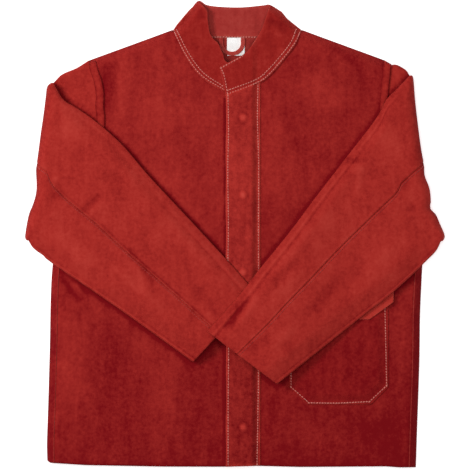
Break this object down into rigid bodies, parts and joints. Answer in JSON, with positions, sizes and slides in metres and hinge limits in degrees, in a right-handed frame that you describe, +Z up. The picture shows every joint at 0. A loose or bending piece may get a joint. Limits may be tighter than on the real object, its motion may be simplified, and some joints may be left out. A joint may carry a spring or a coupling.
{
  "type": "leather welding jacket",
  "caption": "Split-leather welding jacket with a stand collar, a covered snap front and a flapped chest pocket, lying flat with its sleeves folded across the front.",
  "frame": {"origin": "on the table, under the middle of the box around the folded jacket", "axes": "+Z up off the table, out of the jacket's front; +Y along the centre front from hem to collar; +X to the wearer's left"},
  "size_m": [0.729, 0.8152, 0.0552],
  "materials": {
    "suede_outer": "brushed split suede, matte",
    "suede_inner": "rough flesh side of the split, matte",
    "seam_thread": "heavy spun aramid thread",
    "snap_steel": "dull nickel plate",
    "label_cloth": "woven satin ribbon"
  },
  "bodies": {
    "torso": {"back_panel": "suede_outer", "right_front_panel": "suede_outer", "left_front_panel": "suede_outer", "right_front_facing": "suede_inner", "back_neck_facing": "suede_inner", "neck_label": "label_cloth", "collar_back_outer": "suede_outer", "collar_back_lining": "suede_inner", "collar_right_outer": "suede_outer", "collar_right_lining": "suede_inner", "collar_left_outer": "suede_outer", "collar_left_lining": "suede_inner", "pocket_patch": "suede_outer", "right_armhole_welt": "suede_outer", "left_armhole_welt": "suede_outer", "right_top_sleeve_upper_arm": "suede_outer", "right_under_sleeve_upper_arm": "suede_outer", "left_top_sleeve_upper_arm": "suede_outer", "left_under_sleeve_upper_arm": "suede_outer", "snap_eyelet_1": "snap_steel", "snap_eyelet_2": "snap_steel", "snap_eyelet_3": "snap_steel", "snap_eyelet_4": "snap_steel", "snap_eyelet_5": "snap_steel", "snap_stud_1": "snap_steel", "snap_stud_2": "snap_steel", "snap_stud_3": "snap_steel", "snap_stud_4": "snap_steel", "snap_stud_5": "snap_steel"},
    "placket": {"placket_cover": "suede_outer", "placket_facing": "suede_inner", "collar_left_end_outer": "suede_outer", "collar_left_end_lining": "suede_inner", "snap_socket_1": "snap_steel", "snap_socket_2": "snap_steel", "snap_socket_3": "snap_steel", "snap_socket_4": "snap_steel", "snap_socket_5": "snap_steel", "snap_cap_1": "snap_steel", "snap_cap_2": "snap_steel", "snap_cap_3": "snap_steel", "snap_cap_4": "snap_steel", "snap_cap_5": "snap_steel"},
    "left_forearm": {"left_top_sleeve_forearm": "suede_outer", "left_under_sleeve_forearm": "suede_outer"},
    "right_forearm": {"right_top_sleeve_forearm": "suede_outer", "right_under_sleeve_forearm": "suede_outer"},
    "flap": {"pocket_flap": "suede_outer"},
    "loop": {"hanger_loop": "suede_outer"}
  },
  "joints": [
    {"name": "left_sleeve_fold", "type": "hinge", "parent": "torso", "child": "left_forearm", "pos_m": [0.33985, 0.13355, 0.0202], "axis": [-0.1973, 0.9803, 0], "range_deg": [0, 172]},
    {"name": "right_sleeve_fold", "type": "hinge", "parent": "torso", "child": "right_forearm", "pos_m": [-0.34875, 0.1234, 0.0202], "axis": [-0.1412, -0.99, 0], "range_deg": [0, 138]},
    {"name": "placket_opening", "type": "hinge", "parent": "torso", "child": "placket", "pos_m": [0.0405, -0.07, 0.0174], "axis": [0, 1, 0], "range_deg": [0, 156]},
    {"name": "pocket_flap_lift", "type": "hinge", "parent": "torso", "child": "flap", "pos_m": [0.1817, -0.08165, 0.0157], "axis": [-1, 0, 0], "range_deg": [0, 147]},
    {"name": "hanger_loop_swing", "type": "hinge", "parent": "torso", "child": "loop", "pos_m": [-0.0052, 0.34135, 0.0056], "axis": [-1, 0, 0], "range_deg": [0, 100]}
  ],
  "couplings": [
    {"joint": "right_sleeve_fold", "follows": "left_sleeve_fold", "ratio": 0.8},
    {"joint": "placket_opening", "follows": "left_sleeve_fold", "ratio": 0.9},
    {"joint": "pocket_flap_lift", "follows": "left_sleeve_fold", "ratio": 0.85}
  ]
}
